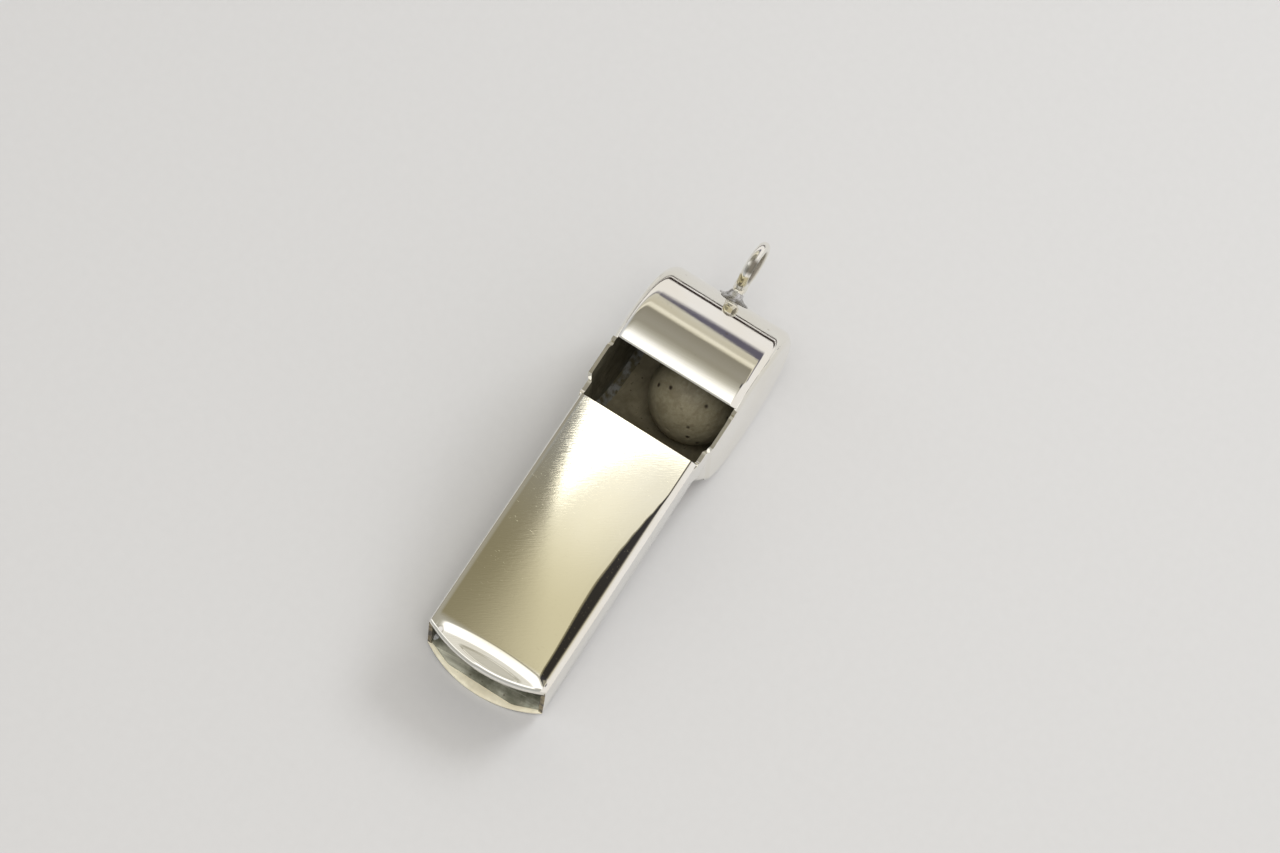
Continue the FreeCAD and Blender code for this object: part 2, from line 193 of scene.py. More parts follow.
def finish_mesh(name, mesh_data, materials, sharp_degrees=32.0):
    """Lays a bmesh drawn in millimetres into the frame and shades it smooth between creases."""
    bmesh.ops.remove_doubles(mesh_data, verts=mesh_data.verts, dist=0.0004)
    bmesh.ops.recalc_face_normals(mesh_data, faces=mesh_data.faces)
    mesh_data.transform(LAY)
    limit = math.radians(sharp_degrees)
    for face in mesh_data.faces:
        face.smooth = True
    for edge in mesh_data.edges:
        edge.smooth = len(edge.link_faces) == 2 and edge.calc_face_angle(0.0) < limit
    return add_piece(name, mesh_data, *(materials if isinstance(materials, tuple) else (materials,)))


def add_grid(mesh_data, rows, slot=0, closed=False):
    """Quads between neighbouring rows of points; returns the vertices row by row."""
    made = [[mesh_data.verts.new(point) for point in row] for row in rows]
    for upper, lower in zip(made, made[1:]):
        count = len(upper)
        for i in range(count if closed else count - 1):
            j = (i + 1) % count
            mesh_data.faces.new((upper[i], upper[j], lower[j], lower[i])).material_index = slot
    return made


def add_tube(mesh_data, rows):
    """A closed solid from loops of points, its first and last loops capped."""
    rings = add_grid(mesh_data, rows, closed=True)
    mesh_data.faces.new(rings[0])
    mesh_data.faces.new(list(reversed(rings[-1])))


def add_sheet(mesh_data, outer, inner, inner_slot=0):
    """A closed sheet from two matching grids of points and the strips that join their borders."""
    top = add_grid(mesh_data, outer)
    low = add_grid(mesh_data, inner, inner_slot)
    borders = [
        (top[0], low[0]),
        (top[-1], low[-1]),
        ([row[0] for row in top], [row[0] for row in low]),
        ([row[-1] for row in top], [row[-1] for row in low]),
    ]
    for upper, lower in borders:
        for i in range(len(upper) - 1):
            mesh_data.faces.new((upper[i], upper[i + 1], lower[i + 1], lower[i]))


def rounded_stations(start, end, count, start_r, end_r):
    """Stations along an edge-to-edge line, crowded at both ends for a small rounding there.

    Each comes with how far it lies inside the nearest rounded end, from 0 (the edge) to 1."""
    turns = spaced(0.0, math.pi / 2, 6)[:-1]
    stations = [(start + start_r * (1 - math.cos(turn)), math.sin(turn)) for turn in turns]
    stations += [(x, 1.0) for x in spaced(start + start_r, end - end_r, count)]
    for turn in reversed(turns):
        stations.append((end - end_r * (1 - math.cos(turn)), math.sin(turn)))
    return stations


# ---------------------------------------------------------------- sheet pieces

def nose_x(corner_x, bulge, y):
    """Front edge of a bulging lip at y."""
    radius = (HALF_MOUTH ** 2 + bulge ** 2) / (2 * bulge)
    return corner_x - bulge + radius - math.sqrt(radius ** 2 - y ** 2)


def bite_x(y):
    """Where the nose starts to bend down: a line that bows slightly towards the window."""
    return BITE_X - 0.013 * (y + 0.7) ** 2 - 0.4 * smoothstep(-5.5, -7.2, y)


def nose_slope(ahead, lip, y):
    """Downward slope, in degrees, at a distance ahead of the bite line: the nose dips quickly,
    eases into a shallow thumb flat with sunk borders, dips again and rolls over at the lip."""
    dip = smoothstep(-0.3, 0.05, ahead) * (1.0 - smoothstep(5.4, 6.6, y))
    ease = smoothstep(0.7, 0.9, ahead)
    slope = DIP_SLOPE * dip * (1.0 - ease) + FLAT_SLOPE * ease
    off_middle = (y - FLAT_MIDDLE_Y) / FLAT_HALF
    rear = 1.35 + 0.25 * off_middle ** 2
    front = lip - 0.72 - 0.3 * max(0.0, off_middle) ** 2
    room = smoothstep(0.02, 0.3, front - rear) * smoothstep(1.0, 0.9, abs(off_middle))
    for border in (rear, front):
        slope += BORDER_SLOPE * room * math.exp(-((ahead - border) / BORDER_WIDTH) ** 2)
    slope -= 1.5 * room * smoothstep(rear, rear + 0.1, ahead) * smoothstep(front, front - 0.1, ahead)
    middle = smoothstep(0.9, 0.3, y)
    slope += AGAIN_SLOPE * smoothstep(lip - 0.62, lip - 0.52, ahead) * middle
    return slope + LIP_SLOPE * smoothstep(lip - 0.07 - 0.19 * middle, lip, ahead)


def nose_profile(y):
    """How far the nose has bent down at y, in steps of PROFILE_STEP ahead of the bite line."""
    lip = bite_x(y) - nose_x(TOP_CORNER_X, TOP_BULGE, y)
    drops = [0.0]
    while len(drops) * PROFILE_STEP < lip + PROFILE_LEAD + 0.1:
        ahead = (len(drops) - 0.5) * PROFILE_STEP - PROFILE_LEAD
        drops.append(drops[-1] + PROFILE_STEP * math.tan(math.radians(nose_slope(ahead, lip, y))))
    return drops


def nose_drop(profile, ahead):
    """The drop that a nose profile gives at a distance ahead of the bite line."""
    place = (ahead + PROFILE_LEAD) / PROFILE_STEP
    if place <= 0.0:
        return 0.0
    step = min(int(place), len(profile) - 2)
    return profile[step] + (place - step) * (profile[step + 1] - profile[step])


def roll_start(x):
    """How far from the middle the right edge's roll-off starts at x."""
    if x <= ROLL_STARTS[0][0]:
        return ROLL_STARTS[0][1]
    for (near, start), (far, end) in zip(ROLL_STARTS, ROLL_STARTS[1:]):
        if x < far:
            return start + (end - start) * smoothstep(near, far, x)
    return ROLL_END_Y


def edge_roll(x, y):
    """How far buffing took the right edge down: a soft roll-off that narrows towards the
    window, and a small rim outside it."""
    start = roll_start(x)
    width = max(1e-6, ROLL_END_Y - start)
    share = min(1.0, max(0.0, (-y - start) / width))
    depth = math.tan(math.radians(ROLL_SLOPE)) * width * (share ** 2 - share ** 3 / 3)
    rim = max(0.0, (-y - HALF_MOUTH + RIM_WIDTH) / RIM_WIDTH)
    return depth * smoothstep(*ROLL_FADE, x) + RIM_DROP * rim ** RIM_CURVE


def edge_arc(half, radius, cut_degrees):
    """One long edge, rolled over by radius: (y, drop) pairs from the flat outwards."""
    arc = []
    for turn in spaced(0.0, math.radians(cut_degrees), 10)[1:]:
        arc.append((half - radius + radius * math.sin(turn), radius * (1 - math.cos(turn))))
    return arc


def edge_columns(half, count, left, right):
    """Across a sheet: (y, drop) pairs, its left and right edges rolled by (radius, degrees)."""
    flat = [(y, 0.0) for y in spaced(right[0] - half, half - left[0], count)]
    return [(-y, drop) for y, drop in reversed(edge_arc(half, *right))] + flat + edge_arc(half, *left)


def top_plate(materials):
    """The mouthpiece's top: rounded front edge, bitten nose, and the buffed right edge.

    A station is (distance behind the front edge, share of the full sheet); the last two, which
    have no distance, stand at the window.  "handled" marks the worn film on the metal."""
    columns = edge_columns(HALF_MOUTH, 64, (MOUTH_EDGE_R, 76), (RIM_WIDTH, 90))
    outer = []
    inner = []
    stations = list(TOP_NOSE)
    stations += [(behind, 1.0) for behind in spaced(0.4, 3.5, 100) + spaced(3.7, 31.0, 90)]
    stations += [(None, 1.0), (None, 0.0)]
    profiles = [nose_profile(y) for y, drop in columns]
    for behind, round_off in stations:
        upper_row = []
        lower_row = []
        for (y, drop), profile in zip(columns, profiles):
            front = nose_x(TOP_CORNER_X, TOP_BULGE, y)
            x = WINDOW_X - 0.03 * round_off
            if behind is not None:
                x = front + behind * (WINDOW_X - front) / TOP_SPAN
            bend = nose_drop(profile, bite_x(y) - x)
            roll = edge_roll(x, y)
            left_drop = drop if y > 0 else 0.0
            edge = FRONT_SQUEEZE * (1 - round_off)
            upper_row.append((x, y, PLATE_Z - left_drop - roll - bend - edge))
            lower_row.append((x, y, PLATE_Z - SHEET - bend * 0.85 + edge * 0.5))
        outer.append(upper_row)
        inner.append(lower_row)
    data = bmesh.new()
    add_sheet(data, outer, inner, 1)
    piece = finish_mesh("top_plate", data, materials, 40)
    back = LAY.inverted()
    film_and_sheen = piece.data.attributes.new("film_and_sheen", "FLOAT", "POINT")
    for vertex, value in zip(piece.data.vertices, film_and_sheen.data):
        spot = back @ vertex.co
        film = FILM_LEAST + (1 - FILM_LEAST) * smoothstep(*FILM_GROWS_X, spot.x)
        film *= smoothstep(*FILM_FRONT_X, spot.x)
        value.value = film * smoothstep(*FILM_SIDE_Y, abs(spot.y))
    return piece


def under_z(x):
    """Underside of the bottom plate at x: it rises evenly from the lower lip to its root."""
    slope = (UNDER_ROOT_Z - UNDER_TIP_Z) / (UNDER_ROOT_X - LOW_CORNER_X + LOW_BULGE)
    return UNDER_TIP_Z + slope * (x - LOW_CORNER_X + LOW_BULGE)


def bottom_plate(materials):
    """The mouthpiece's underside, from the bulging lower lip to the chamber's front wall."""
    columns = edge_columns(HALF_MOUTH, 40, (0.4, 76), (0.4, 76))
    outer = []
    inner = []
    for station, inside in rounded_stations(0.0, 1.0, 90, 0.002, 0.001):
        under_row = []
        upper_row = []
        for y, drop in columns:
            front = nose_x(LOW_CORNER_X, LOW_BULGE, y)
            x = front + station * (WALL_TOP_X + 0.45 - front)
            squeeze = SHEET * 0.42 * (1 - inside)
            under_row.append((x, y, under_z(x) + drop + squeeze))
            upper_row.append((x, y, under_z(x) + SHEET - squeeze))
        outer.append(under_row)
        inner.append(upper_row)
    data = bmesh.new()
    add_sheet(data, outer, inner, 1)
    return finish_mesh("bottom_plate", data, materials)


def tangent_turn(radius, x, z):
    """Angle at which a straight wall from (x, z) touches a circle round the barrel axis."""
    return math.atan2(z, x) + math.acos(radius / math.hypot(x, z))


WALL_TURN = tangent_turn(BARREL_R, WALL_TOP_X, FLOOR_TOP_Z)


def band_path():
    """Stations round the band, from lip to front wall: (outer point, outward direction, trim),
    where trim thins the sheet for the tiny rounding of its lip."""
    lip = math.acos((LIP_X + 0.05) / BARREL_R)
    turns = [(lip - back / BARREL_R, trim) for back, trim in LIP_TRIM]
    turns += [(turn, 0.0) for turn in spaced(lip - 0.03, WALL_TURN - 2 * math.pi, 260)]
    stations = []
    for turn, trim in turns:
        out = Vector((math.cos(turn), 0, math.sin(turn)))
        stations.append((out * BARREL_R, out, trim))
    last, out, trim = stations[-1]
    top = Vector((WALL_TOP_X, 0, FLOOR_TOP_Z))
    for share in spaced(0.0, 1.0, 14)[1:]:
        stations.append((last.lerp(top, share), out, 0.0))
    return stations


def barrel_strip(materials):
    """The band round the chamber, its rims rolled over, its ends tucked between the cheeks."""
    outer = []
    inner = []
    for point, out, trim in band_path():
        width = half_width(point.x)
        straight = point.z > -1.0 and point.x < -9.0
        tucked = straight and point.z > under_z(point.x)
        edges = [(radius, rim_start(radius) - 2) for radius in (LEFT_RIM_R, RIGHT_RIM_R)]
        if tucked:
            width -= SHEET + 0.02
            edges = [(0.05, 56), (0.05, 56)]
        outer_row = []
        inner_row = []
        for y, drop in edge_columns(width, 40, *edges):
            outer_row.append(point - out * (drop + trim) + Vector((0, y, 0)))
            inner_row.append(point - out * (SHEET - trim) + Vector((0, y, 0)))
        outer.append(outer_row)
        inner.append(inner_row)
    data = bmesh.new()
    add_sheet(data, outer, inner, 1)
    return finish_mesh("barrel_strip", data, materials)


def wall_inner_x(z):
    """Inner face of the chamber's straight front wall at height z."""
    out = Vector((math.cos(WALL_TURN), 0, math.sin(WALL_TURN)))
    foot = out * INNER_R
    along = Vector((-out.z, 0, out.x))
    return foot.x + along.x * (z - foot.z) / along.z


def cheek_outline():
    """Outline of a cheek: (x, z, rolled), rolled where the barrel's rim rounding runs over it."""
    rim = RIM_Z
    points = [(x, PLATE_Z - SHEET, 0.0) for x in spaced(TOP_CORNER_X, WINDOW_X, 40)]
    points += [(WINDOW_X + 0.02, rim, 0.0), (-10.25, rim - 0.04, 0.0), (-10.0, rim - 0.4, 0.0)]
    points += [(-9.2, rim - 0.5, 0.0), (-8.74, rim - 0.46, 0.0), (-8.62, rim - 0.72, 0.0)]
    points += [(-8.3, rim - 0.76, 0.0), (-8.2, rim - 0.04, 0.0), (-8.0, rim + 0.04, 0.0)]
    points += [(-7.7, rim - 0.02, 0.0), (-6.1, rim, 0.0)]
    points += [(-4.4, rim - 0.02, 0.0), (-4.02, rim - 0.1, 0.0), (-3.92, rim - 0.62, 0.0)]
    points += [(-3.6, rim - 0.6, 0.0), (-3.5, rim - 0.16, 0.0), (LIP_X - 0.05, rim - 0.2, 0.0)]
    lip = math.acos(LIP_X / INNER_R)
    for turn in spaced(lip, WALL_TURN - 2 * math.pi, 220):
        points.append((INNER_R * math.cos(turn), INNER_R * math.sin(turn), 1.0))
    root_z = under_z(UNDER_ROOT_X) + SHEET
    points += [(wall_inner_x(z), z, 1.0) for z in spaced(-0.2, root_z, 8)[1:]]
    low_z = under_z(LOW_CORNER_X) + SHEET
    for share in spaced(0.0, 1.0, 40)[1:]:
        x = wall_inner_x(root_z) + share * (LOW_CORNER_X - wall_inner_x(root_z))
        points.append((x, root_z + share * (low_z - root_z), 0.0))
    points += [
        (LOW_CORNER_X + share * (TOP_CORNER_X - LOW_CORNER_X),
         low_z + share * (PLATE_Z - SHEET - low_z), 0.0)
        for share in spaced(0.0, 1.0, 10)[1:-1]
    ]
    return points


def inward(points, index):
    """Unit normal of the outline at a point, towards the inside (the outline runs clockwise)."""
    count = len(points)
    before = Vector(points[(index - 1) % count][:2])
    here = Vector(points[index][:2])
    after = Vector(points[(index + 1) % count][:2])
    first = (here - before).normalized()
    second = (after - here).normalized()
    along = first + second
    if along.length < 0.2:
        along = first
    along.normalize()
    stretch = min(1.6, 1.0 / max(0.5, along.dot(second)))
    return Vector((along.y, -along.x)) * stretch


def cheek_sheet(name, side, materials):
    """One side of the whistle, drawn flat, rounded at its border, then joggled out to shape."""
    outline = cheek_outline()
    normals = [inward(outline, i) for i in range(len(outline))]
    rim_r = LEFT_RIM_R if side > 0 else RIGHT_RIM_R
    loops = []
    for share in spaced(0.0, 1.0, 7):
        loop = []
        for (x, z, rolled), normal in zip(outline, normals):
            start = math.radians(rim_start(rim_r)) if rolled else 0.0
            radius = rim_r if rolled else SMALL_ROUNDING
            angle = start + share * (math.pi / 2 - start)
            inset = radius * (math.cos(start) - math.cos(angle))
            drop = radius * (1 - math.sin(angle))
            loop.append((x + normal.x * inset, -drop, z + normal.y * inset))
        loops.append(loop)
    inner_loop = [(x, -SHEET, z) for x, z, rolled in outline]
    data = bmesh.new()
    rings = add_grid(data, [inner_loop] + loops, closed=True)
    data.faces.new(rings[-1])
    data.faces.new(list(reversed(rings[0]))).material_index = 1
    across = spaced(*FIRST_JOGGLE, 8) + spaced(*SECOND_JOGGLE, 8) + list(CUTS_X)
    cuts = [((x, 0, 0), (1, 0, 0)) for x in across] + [((0, 0, z), (0, 0, 1)) for z in CUTS_Z]
    for place, normal in cuts:
        geometry = data.verts[:] + data.edges[:] + data.faces[:]
        bmesh.ops.bisect_plane(data, geom=geometry, dist=1e-5, plane_co=place, plane_no=normal)
    for vertex in data.verts:
        x, y, z = vertex.co
        sprung = smoothstep(-8.35, -7.6, x) * smoothstep(-3.8, -4.6, x) * smoothstep(8.3, 9.5, z)
        vertex.co.y = side * min(HALF_BARREL, y + half_width(x) + SPRUNG_OUT * sprung)
    for face in data.faces:
        if face.calc_center_median().x < FRONT_FACES_X:
            face.material_index = 2
    return finish_mesh(name, data, materials)


def floor_top(x):
    """Upper face of the windway plate: along the bottom plate first, then straight up to the slit."""
    flat = under_z(min(x, FLOOR_KNEE_X)) + SHEET + FLOOR_SHEET
    share = max(0.0, min(1.0, (x - FLOOR_KNEE_X) / (FLOOR_LEVEL_X - FLOOR_KNEE_X)))
    return flat + share * (FLOOR_TOP_Z - flat)


def windway_plate(material):
    """The inner plate that narrows the mouth to the slit, its front corners cut back."""
    half = HALF_MOUTH - SHEET - 0.01
    outer = []
    inner = []
    for station, inside in rounded_stations(0.0, 1.0, 60, 0.003, 0.001):
        upper_row = []
        lower_row = []
        for y in spaced(-half, half, 28):
            cut = max(0.0, abs(y) - FLOOR_CORNER_Y) / (half - FLOOR_CORNER_Y)
            front = FLOOR_FRONT_X + FLOOR_CORNER_CUT * cut
            x = front + station * (wall_inner_x(FLOOR_TOP_Z) - 0.02 - front)
            squeeze = FLOOR_SHEET * 0.4 * (1 - inside)
            upper_row.append((x, y, floor_top(x) - squeeze))
            lower_row.append((x, y, floor_top(x) - FLOOR_SHEET + 0.01))
        outer.append(upper_row)
        inner.append(lower_row)
    data = bmesh.new()
    add_sheet(data, outer, inner)
    return finish_mesh("windway_plate", data, material)


# ---------------------------------------------------------------- small pieces

def lumpy(point, size, amount):
    """Smooth noise of either sign, at most about amount, with lumps of the given size."""
    return amount * noise.noise(Vector(point) / size)


def chamber_bead(name, side, material):
    """Solder that ran round the corner between cheek and band, wavy along both of its edges."""
    wall_y = HALF_BARREL - SHEET
    rows = []
    for turn in spaced(*BEAD_TURNS, 180):
        leg_y = BEAD_LEGS[0] + lumpy((turn * 9, side * 3, 0), 1.0, 0.28)
        leg_r = BEAD_LEGS[1] + lumpy((turn * 7, side * 5, 4), 1.0, 0.25)
        section = [(wall_y + 0.01, INNER_R + 0.01)]
        for share in spaced(0.0, 1.0, 8):
            arch = math.sin(share * math.pi)
            wave = lumpy((turn * 14, share * 2, side), 1.0, 0.05)
            curve = arch * (wave - BEAD_HOLLOW * arch) * 1.2
            y = wall_y - leg_y * (1 - share) * (1 + curve)
            radius = INNER_R - leg_r * share * (1 + curve)
            section.append((y, radius))
        rows.append([(r * math.cos(turn), side * y, r * math.sin(turn)) for y, r in section])
    data = bmesh.new()
    add_tube(data, rows)
    return finish_mesh(name, data, material, 50)


def mouth_bead(name, side, material):
    """A rough bead in the mouth's lower corner."""
    rows = []
    wall_y = HALF_MOUTH - SHEET
    for x in spaced(*MOUTH_BEAD_X, 70):
        size = MOUTH_BEAD + lumpy((x, side, 2), 0.9, 0.16)
        size *= smoothstep(-41.5, -40.9, x) * 0.6 + 0.4
        row = [(x, side * (wall_y + 0.01), floor_top(x) - 0.01)]
        for turn in spaced(0.0, math.pi / 2, 6):
            reach = size * (1 - 0.3 * math.sin(2 * turn)) + lumpy((x, turn, side), 0.35, 0.04)
            y = wall_y - reach * math.cos(turn)
            row.append((x, side * y, floor_top(x) + reach * math.sin(turn)))
        rows.append(row)
    data = bmesh.new()
    add_tube(data, rows)
    return finish_mesh(name, data, material, 50)


def cork_pea(material):
    """A slightly lumpy cork ball with pores, lying at the bottom of the chamber."""
    data = bmesh.new()
    bmesh.ops.create_icosphere(data, subdivisions=6, radius=1.0)
    for vertex in data.verts:
        out = vertex.co.normalized()
        swell = noise.noise(out * 1.7) * 0.05 + noise.noise(out * 9.0) * 0.02
        pore = noise.voronoi(out * 3.1)[0][0]
        pit = -0.16 * (1.0 - smoothstep(0.05, 0.16, pore))
        vertex.co = out * (PEA_R - 0.1 + swell + pit)
    drop = -math.pi / 2 - TILT
    centre = Vector((math.cos(drop), 0, math.sin(drop))) * PEA_ORBIT_R + Vector((0, PEA_Y, 0))
    bmesh.ops.translate(data, verts=data.verts, vec=centre)
    return finish_mesh("cork_pea", data, material, 60)


def eye_frame():
    """Turns a loop drawn with its stem along +Z into its place on the barrel's back."""
    return Matrix.Rotation(math.pi / 2 - LOOP_ANGLE, 4, "Y")


def revolve(mesh_data, profile, count, bend=None):
    """A closed solid turned round Z from (radius, height) pairs that start and end on the axis."""
    rows = []
    for radius, height in profile:
        row = []
        for turn in spaced(0.0, 2 * math.pi, count)[:-1]:
            point = Vector((radius * math.cos(turn), radius * math.sin(turn), height))
            row.append(bend(point, turn) if bend else point)
        rows.append(row)
    add_tube(mesh_data, rows)


def fused(mesh_data, voxel, rounds):
    """Melts overlapping closed shapes into one skin and softens the joints between them."""
    lump = add_piece("melt", mesh_data)
    melt = lump.modifiers.new("melt", "REMESH")
    melt.mode = "VOXEL"
    melt.voxel_size = voxel
    shape = lump.evaluated_get(bpy.context.evaluated_depsgraph_get())
    result = bmesh.new()
    result.from_mesh(shape.to_mesh())
    bpy.data.objects.remove(lump)
    for _ in range(rounds):
        bmesh.ops.smooth_vert(result, verts=result.verts, factor=0.5,
                              use_axis_x=True, use_axis_y=True, use_axis_z=True)
    return result


def lanyard_eye(material):
    """A round-wire ring brazed to the end of a short stem, its foot flowing into the stem.

    The first attribute made below marks painted shade inside the ring and a painted dark
    reflection in one patch on it; the second marks a painted yellowish reflection in a patch
    beside that one."""
    data = bmesh.new()
    rows = []
    for turn in spaced(0.0, 2 * math.pi, 96)[:-1]:
        out = Vector((math.cos(turn), 0, math.sin(turn)))
        foot = smoothstep(0.72, 1.0, -out.z)
        row = []
        for roll in spaced(0.0, 2 * math.pi, 28)[:-1]:
            wire = EYE_WIRE_R * (1 + 0.16 * foot)
            side = Vector((0, wire * math.sin(roll), 0))
            row.append(Vector((0, 0, EYE_OUT)) + out * (EYE_RING_R + wire * math.cos(roll)) + side)
        rows.append(row)
    rows.append(rows[0])
    add_grid(data, rows, closed=True)
    bmesh.ops.remove_doubles(data, verts=data.verts, dist=0.0001)
    revolve(data, EYE_STEM, 40)
    bmesh.ops.recalc_face_normals(data, faces=data.faces)
    data = fused(data, 0.055, 7)
    data.transform(eye_frame())
    piece = finish_mesh("lanyard_eye", data, material, 180)
    middle = LAY @ (eye_frame() @ Vector((0, 0, EYE_OUT)))
    # Painted shade: the ring's faces that look towards its middle are darkened near it.
    painted_shade = piece.data.attributes.new("painted_shade", "FLOAT", "POINT")
    for vertex, value in zip(piece.data.vertices, painted_shade.data):
        inwards = (middle - vertex.co).normalized().dot(vertex.normal)
        near = smoothstep(3.1, 2.3, (vertex.co - middle).length / MM)
        value.value = 0.9 * smoothstep(0.1, 0.75, inwards) * near
    home = (LAY @ eye_frame()).inverted()
    film = piece.data.attributes.new("film_and_sheen", "FLOAT", "POINT")
    for vertex, painted_dark, yellow_sheen in zip(piece.data.vertices, painted_shade.data, film.data):
        spot = home @ vertex.co
        turn = math.degrees(math.atan2(EYE_OUT - spot.z, -spot.x))
        # Painted dark reflection: a patch on the ring's upper side.
        upper = smoothstep(1.2, 1.9, -spot.x)
        shade = smoothstep(*DARK_REFLECTION_FROM, turn) * smoothstep(*DARK_REFLECTION_TO, turn)
        shade *= smoothstep(0.5, -0.2, spot.y)
        painted_dark.value = max(painted_dark.value, 0.95 * upper * shade)
        # Painted yellowish reflection: the patch beside the dark one.
        worn = smoothstep(*YELLOW_SHEEN_FROM, turn) * smoothstep(*YELLOW_SHEEN_TO, turn)
        yellow_sheen.value = worn * smoothstep(10.8, 11.1, spot.z)
    return piece


def eye_collar(material):
    """Soldered flange whose uneven foot hugs the barrel and runs out in four short points."""
    def hug(point, turn):
        radius = math.hypot(point.x, point.y)
        pointed = 0.16 * math.cos(4 * turn + math.radians(100)) + 0.05 * math.sin(3 * turn)
        grown = 1.0 + pointed * smoothstep(0.9, 1.7, radius)
        along = point.x * grown
        sag = BARREL_R - math.sqrt(BARREL_R ** 2 - along ** 2)
        return Vector((along, point.y * grown, point.z - sag))

    data = bmesh.new()
    revolve(data, EYE_COLLAR, 96, hug)
    data.transform(eye_frame())
    return finish_mesh("eye_collar", data, material, 40)


# ---------------------------------------------------------------- materials

class Graph:
    """A material's node tree with short calls for the few nodes used here."""

    def __init__(self, material):
        material.use_nodes = True
        self.tree = material.node_tree
        self.tree.nodes.clear()
        self.out = self.tree.nodes.new("ShaderNodeOutputMaterial")

    def node(self, kind, **settings):
        made = self.tree.nodes.new(kind)
        for key, value in settings.items():
            setattr(made, key, value)
        return made

    def link(self, source, target):
        self.tree.links.new(source, target)

    def place(self, scale=(1, 1, 1), turn=(0, 0, 0)):
        """Object coordinates in millimetres, turned and stretched."""
        coordinates = self.node("ShaderNodeTexCoord")
        turned = self.node("ShaderNodeMapping")
        turned.inputs["Rotation"].default_value = [math.radians(a) for a in turn]
        self.link(coordinates.outputs["Object"], turned.inputs["Vector"])
        stretched = self.node("ShaderNodeMapping")
        stretched.inputs["Scale"].default_value = [s / MM for s in scale]
        self.link(turned.outputs["Vector"], stretched.inputs["Vector"])
        return stretched.outputs["Vector"]

    def noise(self, where, scale, detail=3.0, rough=0.5):
        """Cloudy noise, about 0.3 to 0.7."""
        made = self.node("ShaderNodeTexNoise")
        made.inputs["Scale"].default_value = scale
        made.inputs["Detail"].default_value = detail
        made.inputs["Roughness"].default_value = rough
        self.link(where, made.inputs["Vector"])
        return made.outputs["Fac"]

    def spots(self, where, scale):
        """Distance to the nearest of some scattered points."""
        made = self.node("ShaderNodeTexVoronoi")
        made.inputs["Scale"].default_value = scale
        self.link(where, made.inputs["Vector"])
        return made.outputs["Distance"]

    def attribute(self, name):
        made = self.node("ShaderNodeAttribute", attribute_name=name)
        return made.outputs["Fac"]

    def span(self, value, low, high, to_low, to_high, smooth=False):
        """Carries the range low to high over to to_low to to_high, and holds it there outside."""
        made = self.node("ShaderNodeMapRange")
        made.interpolation_type = "SMOOTHSTEP" if smooth else "LINEAR"
        numbers = {"From Min": low, "From Max": high, "To Min": to_low, "To Max": to_high}
        for key, number in numbers.items():
            made.inputs[key].default_value = number
        self.link(value, made.inputs["Value"])
        return made.outputs["Result"]

    def math(self, operation, first, second=0.0):
        made = self.node("ShaderNodeMath", operation=operation)
        for socket, value in zip(made.inputs, (first, second)):
            if isinstance(value, (int, float)):
                socket.default_value = value
            else:
                self.link(value, socket)
        return made.outputs[0]

    def mix(self, share, first, second):
        """Blends two colours, each a fixed one or a socket."""
        made = self.node("ShaderNodeMix", data_type="RGBA")
        self.link(share, made.inputs["Factor"])
        for socket, value in ((made.inputs[6], first), (made.inputs[7], second)):
            if isinstance(value, tuple):
                socket.default_value = (*value, 1.0)
            else:
                self.link(value, socket)
        return made.outputs[2]

    def bump(self, height, strength, distance, under=None):
        made = self.node("ShaderNodeBump")
        made.inputs["Strength"].default_value = strength
        made.inputs["Distance"].default_value = distance
        self.link(height, made.inputs["Height"])
        if under is not None:
            self.link(under, made.inputs["Normal"])
        return made.outputs["Normal"]

    def surface(self, colour, metallic, roughness, normal):
        shader = self.node("ShaderNodeBsdfPrincipled")
        self.link(colour, shader.inputs["Base Color"])
        self.link(roughness, shader.inputs["Roughness"])
        self.link(normal, shader.inputs["Normal"])
        shader.inputs["Metallic"].default_value = metallic
        self.link(shader.outputs["BSDF"], self.out.inputs["Surface"])


BRIGHT = (0.90, 0.885, 0.83)
WARM = (0.82, 0.77, 0.62)
TARNISH = (0.36, 0.32, 0.21)
# Tint of the top plate's worn film and of a painted yellowish reflection on the eye.
FILM_AND_SHEEN_TINT = (0.60, 0.55, 0.38)
# Tint of painted shade and of a painted dark reflection on the eye.
PAINTED_SHADE_TINT = (0.20, 0.18, 0.14)


